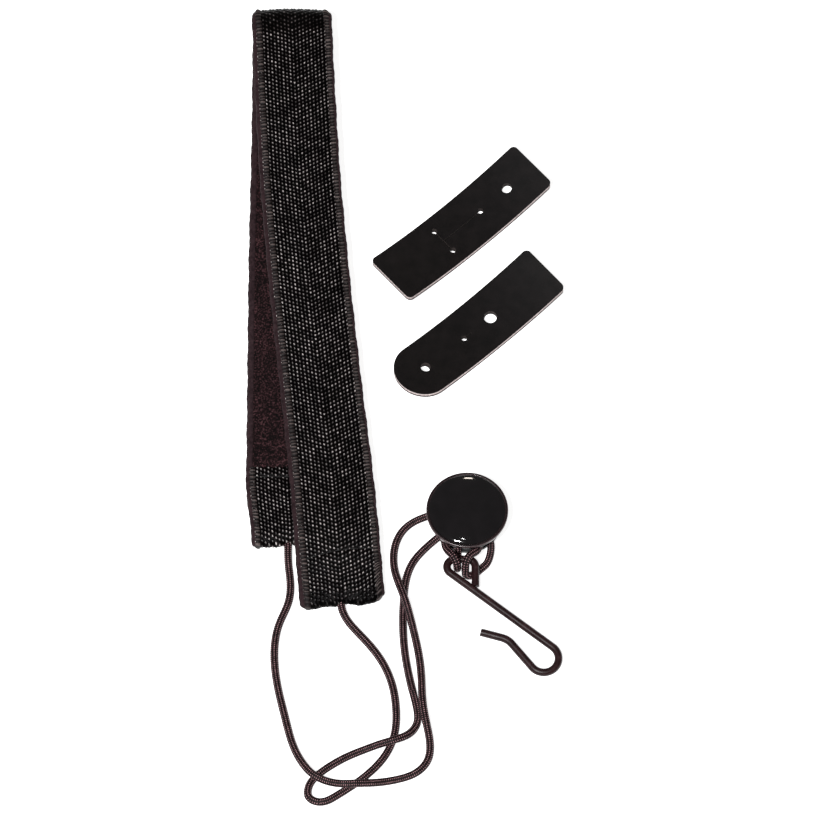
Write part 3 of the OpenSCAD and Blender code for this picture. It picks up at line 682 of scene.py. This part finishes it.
def stitches(name, s_at, bend):
    """A row of sewn threads across the band, each dipping into the cloth at its ends."""
    made = []
    for i in range(STITCHES):
        t = np.linspace(-1, 1, 9)
        u = STITCH_HALF * t + (i - STITCHES // 2) * STITCH_PITCH
        at = s_at + bend * (u - 4) ** 2
        row = np.clip(np.searchsorted(S, at), 0, len(S) - 1)
        middle = np.array([place(np.array([r]), np.array([[x]]), np.array([[0.93 - 0.35 * k * k]]))[0, 0]
                           for r, x, k in zip(row, u, t)])
        side, up = frames(middle)
        a = np.linspace(0, 2 * math.pi, 8, endpoint=False)[None, :, None]
        radial = np.cos(a) * side[:, None, :] + np.sin(a) * up[:, None, :]
        made.append(middle[:, None, :] + THREAD_R * radial)
    pieces = [build(f"{name}_{i}", r) for i, r in enumerate(made)]
    with bpy.context.temp_override(active_object=pieces[0], selected_editable_objects=pieces):
        bpy.ops.object.join()
    pieces[0].name = name
    paint(pieces[0], THREAD)
    return pieces[0]


turn = int(np.searchsorted(S, S_FRONT))
REAR_ROWS, FRONT_ROWS = (0, turn + 1), (turn, len(S))

rear_band = webbing("webbing_rear_band", *REAR_ROWS)
front_band = webbing("webbing_front_band", *FRONT_ROWS)
rear_edges = [
    overcast("edge_rear_left", *REAR_ROWS, -1, 11.3), overcast("edge_rear_right", *REAR_ROWS, 1, 11.6),
]
front_edges = [
    overcast("edge_front_left", *FRONT_ROWS, -1, 11.1), overcast("edge_front_right", *FRONT_ROWS, 1, 11.9),
]
tuck = int(np.searchsorted(S, S_REAR + LINING_REAR))
front_tuck = int(np.searchsorted(S, S_TIP - LINING_FRONT))
rear_lining = lining("suede_rear", tuck, turn + 1)
front_lining = lining("suede_front", turn, front_tuck)
rear_stitches = stitches("stitches_rear_hem", REAR_SEAM, 0.0)
front_stitches = stitches("stitches_front_hem", S_TIP - SEAM_BACK, SEAM_BEND)

for piece, node in [
    (rear_band, "webbing_rear"), (rear_lining, "lining_rear"), (rear_stitches, "hem_stitch_rear"),
] + [(edge, "edge_thread_rear") for edge in rear_edges]:
    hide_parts(node)
    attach(piece, "root")
for piece, node in [
    (front_band, "webbing_front"), (front_lining, "lining_front"),
] + [(edge, "edge_thread_front") for edge in front_edges]:
    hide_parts(node)
    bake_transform(piece)
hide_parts("hem_stitch_front")
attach(front_stitches, "front_leg")


# ---------- adjuster ----------

TURNED_SIDES, AXIS_R = 180, 0.005


def lathe(name, profile, material, node):
    """A piece turned about the adjuster's middle; profile is (radius, height) from the bottom up."""
    line = np.array(profile, float)
    a = np.linspace(0, 2 * math.pi, TURNED_SIDES, endpoint=False)
    r = np.maximum(line[:, :1], AXIS_R)
    rings = np.stack([MIDDLE[0] + r * np.cos(a), MIDDLE[1] + r * np.sin(a), line[:, 1:] + 0 * a], axis=-1)
    piece = build(name, rings)
    paint(piece, material)
    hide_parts(node)
    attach(piece, "adjuster")


def rounded(corners):
    """A profile with each corner (radius, height, round) cut to an arc."""
    points = []
    for i, (x, z, r) in enumerate(corners):
        here = np.array([x, z])
        if r == 0:
            points.append(here)
            continue
        before = unit(np.array(corners[i - 1][:2]) - here)
        after = unit(np.array(corners[i + 1][:2]) - here)
        for k in np.linspace(0, 1, 9):
            points.append(here + r * ((1 - k) ** 2 * before + k**2 * after))
    return points


cap_low, cap_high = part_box("adjuster_cap")
MIDDLE = tuple((cap_low + cap_high).xy / 2 / MM)
CAP_R = (cap_high.x - cap_low.x) / 2 / MM
RIM_WIDE, RIM_STEP = 0.75, 0.35
cap_z, rim_z = cap_low.z / MM, cap_high.z / MM
dome_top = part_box("adjuster_dome")[1].z / MM
lathe("adjuster_cap_shell", rounded([
    (0, cap_z, 0), (CAP_R - 0.1, cap_z, 1.4), (CAP_R, rim_z, 0.45), (CAP_R - RIM_WIDE, rim_z, 0.12),
    (CAP_R - RIM_WIDE - 0.1, rim_z - RIM_STEP, 0), (0, rim_z - RIM_STEP, 0),
]), CAP_PLASTIC, "adjuster_cap")
DOME_R = CAP_R - 0.87
dome = [(0, rim_z - 0.34), (DOME_R, rim_z - 0.34), (DOME_R, rim_z - 0.05)] + [
    ((DOME_R - 0.05) * k, rim_z + (dome_top - rim_z) * (1 - k**2.6) ** 0.62) for k in np.linspace(1, 0, 26)]
lathe("adjuster_dome_inlay", dome, DOME_RESIN, "adjuster_dome")

for node, material in (
    ("adjuster_base", BASE_PLASTIC), ("adjuster_post", STEEL), ("hook", LACQUER),
    ("tab_slotted", TAB_1), ("tab_round", TAB_2),
):
    paint(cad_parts[node], material)


# ---------- floor and light ----------

FLOOR_HALF, FLOOR_Z = 3, -0.0001
floor_paint = Paint("pale_floor", Roughness=0.9, Specular_IOR_Level=0, Emission_Color=(1, 1, 1, 1),
                    Emission_Strength=0.85)
floor_paint.give("Base Color", floor_paint.ramp(floor_paint.noise(40, 2), (0.3, 0.86), (0.7, 0.9)))
floor_mesh = bpy.data.meshes.new("floor")
corners = [(x * FLOOR_HALF, y * FLOOR_HALF, FLOOR_Z) for x, y in ((-1, -1), (1, -1), (1, 1), (-1, 1))]
floor_mesh.from_pydata(corners, [], [(0, 1, 2, 3)])
floor = bpy.data.objects.new("floor", floor_mesh)
scene.collection.objects.link(floor)
paint(floor, floor_paint.material)

scene.world = scene.world or bpy.data.worlds.new("world")
scene.world.use_nodes = True
background = scene.world.node_tree.nodes["Background"]
background.inputs["Color"].default_value = (1, 1, 1, 1)
background.inputs["Strength"].default_value = 0.1


def softbox(name, place_at, size, watts, colour=(1, 1, 1)):
    """A square light turned to the middle of the picture."""
    light = bpy.data.objects.new(name, bpy.data.lights.new(name, "AREA"))
    light.location = place_at
    light.rotation_euler = (look_at - light.location).to_track_quat("-Z", "Y").to_euler()
    light.data.size = size
    light.data.energy = watts
    light.data.color = colour
    scene.collection.objects.link(light)


softbox("key_light", (-0.4, -0.85, 1.72), 0.22, 44)
softbox("star_light", (-0.08, -0.13, 1.9), 0.03, 0.5)
softbox("back_light", (0.06, 1.25, 1.0), 0.15, 1.2, (1, 0.9, 0.8))
scene.view_settings.view_transform = "Standard"
